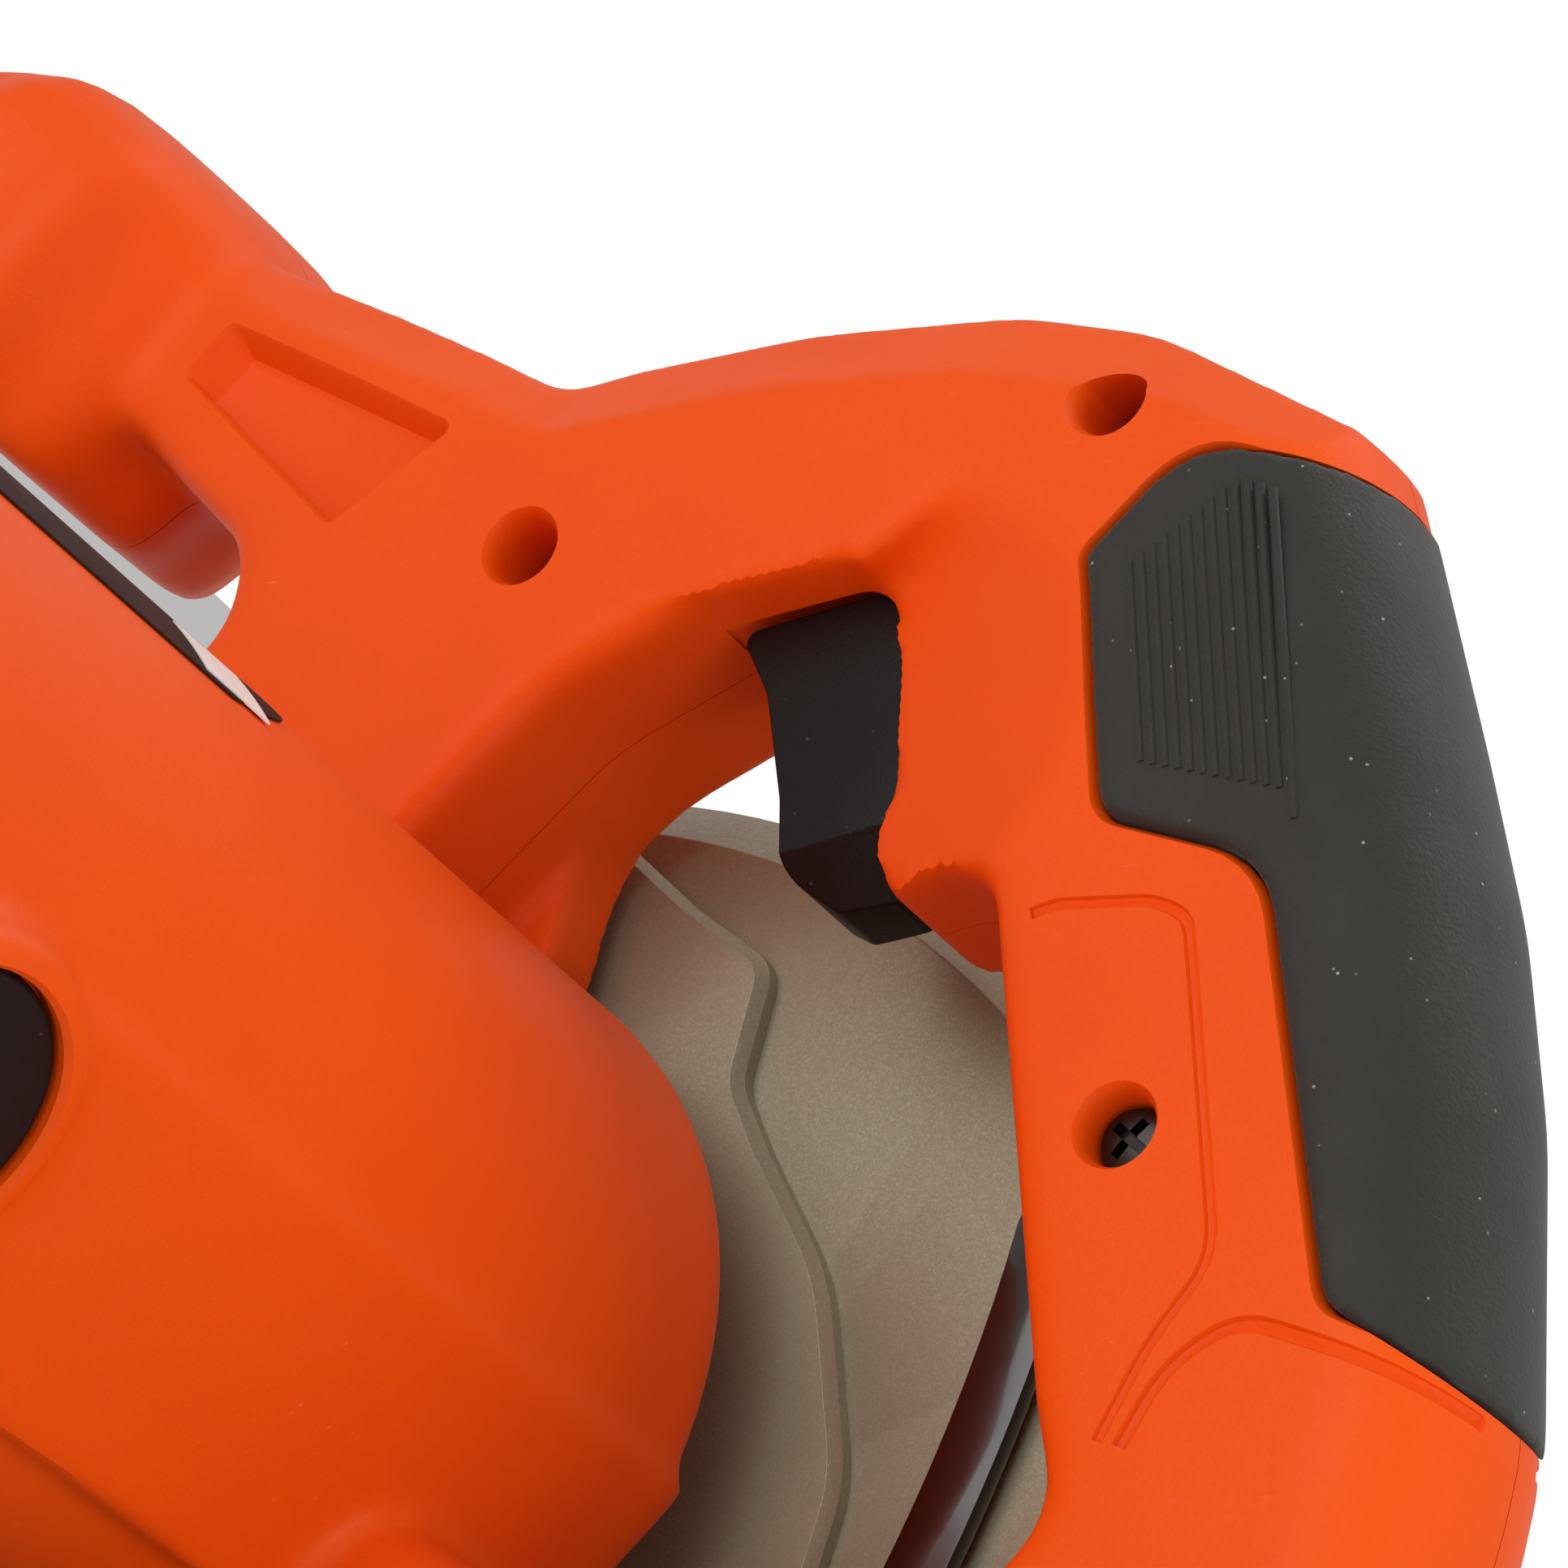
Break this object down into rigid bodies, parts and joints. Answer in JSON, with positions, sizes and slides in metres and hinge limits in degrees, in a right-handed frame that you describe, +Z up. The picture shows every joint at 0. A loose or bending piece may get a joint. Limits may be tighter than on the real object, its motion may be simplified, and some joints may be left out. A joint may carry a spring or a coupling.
{
  "type": "circular saw",
  "caption": "Corded handheld circular saw: D-handle with trigger and rubber grip, motor barrel, blade guards, geared blade spindle, depth quadrant and tilting shoe.",
  "frame": {"origin": "on the sole plane of the shoe, below the blade spindle, in the parting plane of the handle", "axes": "+X the cutting direction, +Y towards the motor side, +Z up out of the shoe"},
  "size_m": [0.311, 0.24, 0.2568],
  "materials": {
    "orange_shell": "moulded nylon, fine spark-eroded grain",
    "grip_rubber": "moulded soft rubber, fine grain",
    "dark_plastic": "satin moulded nylon",
    "guard_paint": "champagne grey metallic paint on die-cast aluminium",
    "lower_guard_steel": "painted pressed aluminium",
    "black_enamel": "gloss black enamel on steel plate",
    "shoe_steel": "zinc plated pressed steel",
    "blade_steel": "ground saw steel",
    "hardware": "oxide and zinc finished steel",
    "label_film": "printed film, dark, no lettering",
    "laminated_iron": "laminated electrical steel",
    "copper_wire": "enamelled copper",
    "brush_brass": "pressed brass",
    "carbon": "pressed carbon",
    "fan_plastic": "moulded nylon"
  },
  "bodies": {
    "housing": {"armature_bearings": "hardware", "brush_caps": "dark_plastic", "brush_holders": "brush_brass", "brush_springs": "hardware", "carbon_brushes": "carbon", "cord_gland": "dark_plastic", "depth_bolt": "hardware", "field_windings": "copper_wire", "gear_case": "guard_paint", "grip_pad": "grip_rubber", "guard_retaining_ring": "hardware", "guard_screws": "hardware", "guard_spring": "hardware", "handle_left": "orange_shell", "handle_right": "orange_shell", "handle_screws": "hardware", "motor_end_cover": "orange_shell", "motor_housing": "orange_shell", "motor_screws": "hardware", "spec_label": "label_film", "spindle_bearings": "hardware", "stator_core": "laminated_iron", "switch_body": "dark_plastic", "trigger_spring": "hardware", "upper_guard": "guard_paint"},
    "trigger": {"trigger": "dark_plastic"},
    "spindle_lock": {"spindle_lock_button": "dark_plastic"},
    "depth_lever": {"depth_lever": "dark_plastic"},
    "armature": {"armature_shaft": "hardware", "armature_core": "laminated_iron", "armature_windings": "copper_wire", "commutator": "copper_wire", "fan": "fan_plastic"},
    "blade_spindle": {"spindle": "hardware", "drive_gear": "hardware", "inner_flange": "hardware", "blade": "blade_steel", "outer_flange": "hardware", "blade_bolt": "hardware"},
    "lower_guard": {"lower_guard": "lower_guard_steel", "guard_lever": "lower_guard_steel", "guard_lever_knob": "dark_plastic"},
    "tilt_frame": {"depth_quadrant": "black_enamel", "front_bracket": "black_enamel", "depth_pivot_pin": "hardware"},
    "shoe": {"shoe": "shoe_steel", "bevel_plate": "black_enamel", "bevel_pins": "hardware"},
    "bevel_knob": {"bevel_knob": "dark_plastic"},
    "fence_screw": {"fence_screw": "hardware"}
  },
  "joints": [
    {"name": "trigger_pull", "type": "slide", "parent": "housing", "child": "trigger", "axis": [-0.5812, 0, 0.8137], "range_m": [0, 0.006], "stiffness_N_per_m": 900, "springref_m": -0.006, "deforming": ["trigger_spring"]},
    {"name": "spindle_lock_press", "type": "slide", "parent": "housing", "child": "spindle_lock", "axis": [1, 0, 0], "range_m": [0, 0.003], "stiffness_N_per_m": 900, "springref_m": -0.003},
    {"name": "depth_lever_turn", "type": "hinge", "parent": "housing", "child": "depth_lever", "pos_m": [-0.06703, -0.014, 0.02543], "axis": [0, 1, 0], "range_deg": [0, 22]},
    {"name": "blade_spin", "type": "hinge", "parent": "housing", "child": "blade_spindle", "pos_m": [0, -0.038, 0.027], "axis": [0, 1, 0], "continuous": true},
    {"name": "armature_spin", "type": "hinge", "parent": "housing", "child": "armature", "pos_m": [0.01342, 0.06, 0.05101], "axis": [0, 1, 0], "continuous": true},
    {"name": "lower_guard_swing", "type": "hinge", "parent": "housing", "child": "lower_guard", "pos_m": [0, -0.028, 0.027], "axis": [0, 1, 0], "range_deg": [0, 150], "stiffness_Nm_per_rad": 0.25, "springref_deg": -68.75},
    {"name": "depth_tilt", "type": "hinge", "parent": "housing", "child": "tilt_frame", "pos_m": [0.125, -0.014, 0.012], "axis": [0, -1, 0], "range_deg": [0, 25]},
    {"name": "bevel_tilt", "type": "hinge", "parent": "tilt_frame", "child": "shoe", "pos_m": [0, -0.014, 0.009], "axis": [-1, 0, 0], "range_deg": [0, 45]},
    {"name": "bevel_knob_turn", "type": "hinge", "parent": "tilt_frame", "child": "bevel_knob", "pos_m": [0.155, 0.00852, 0.022], "axis": [1, 0, 0], "range_deg": [0, 180]},
    {"name": "fence_screw_turn", "type": "hinge", "parent": "shoe", "child": "fence_screw", "pos_m": [0.127, 0.033, 0.012], "axis": [0, 0, 1], "range_deg": [0, 360]}
  ],
  "couplings": [
    {"joint": "armature_spin", "follows": "blade_spin", "ratio": -5.1111}
  ]
}
